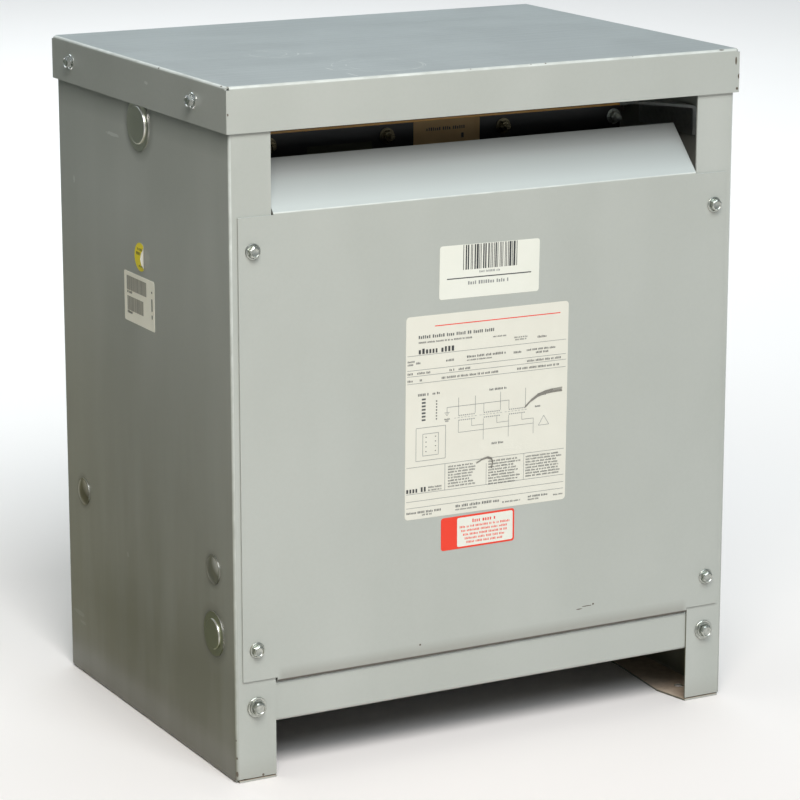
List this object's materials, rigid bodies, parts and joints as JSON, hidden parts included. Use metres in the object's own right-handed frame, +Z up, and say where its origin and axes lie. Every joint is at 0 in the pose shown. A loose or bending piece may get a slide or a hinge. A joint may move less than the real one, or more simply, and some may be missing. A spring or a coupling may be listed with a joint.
{
  "type": "ventilated dry-type distribution transformer",
  "caption": "Floor-standing dry-type power transformer: core and coils inside a grey folded sheet-steel enclosure with a vent under the lid and an open underside.",
  "frame": {"origin": "on the floor, in the middle of the footprint", "axes": "+Z up, -Y towards the front cover with the label places, +X towards the right side panel"},
  "size_m": [0.594, 0.439, 0.71],
  "materials": {
    "paint": "baked grey enamel, low gloss",
    "plated": "zinc plated, dull",
    "clamp_steel": "dark varnished steel",
    "core_steel": "varnished core sheets",
    "winding": "varnished winding wrap",
    "insulation": "varnished pressboard",
    "rubber": "moulded",
    "board": "varnished laminate"
  },
  "bodies": {
    "root": {"left_side_panel": "paint", "right_side_panel": "paint", "front_cover": "paint", "rear_cover": "paint", "lid": "paint", "front_rail": "paint", "rear_rail": "paint", "left_base_channel": "clamp_steel", "right_base_channel": "clamp_steel", "bottom_clamp_front": "clamp_steel", "bottom_clamp_rear": "clamp_steel", "top_clamp_front": "clamp_steel", "top_clamp_rear": "clamp_steel", "left_core_brace": "clamp_steel", "right_core_brace": "clamp_steel", "vibration_pads": "rubber", "core_bottom_yoke": "core_steel", "core_top_yoke": "core_steel", "core_left_leg": "core_steel", "core_middle_leg": "core_steel", "core_right_leg": "core_steel", "left_inner_winding": "winding", "left_outer_winding": "winding", "left_duct_sticks": "insulation", "middle_inner_winding": "winding", "middle_outer_winding": "winding", "middle_duct_sticks": "insulation", "right_inner_winding": "winding", "right_outer_winding": "winding", "right_duct_sticks": "insulation", "bottom_end_blocks": "insulation", "top_end_blocks": "insulation", "tap_board_spacers": "insulation", "tap_board": "board", "left_upper_plug": "plated", "left_lower_plug": "plated", "left_front_plug": "plated", "left_rear_plug": "plated", "right_upper_plug": "plated", "right_lower_plug": "plated", "right_front_plug": "plated", "right_rear_plug": "plated"}
  },
  "joints": []
}
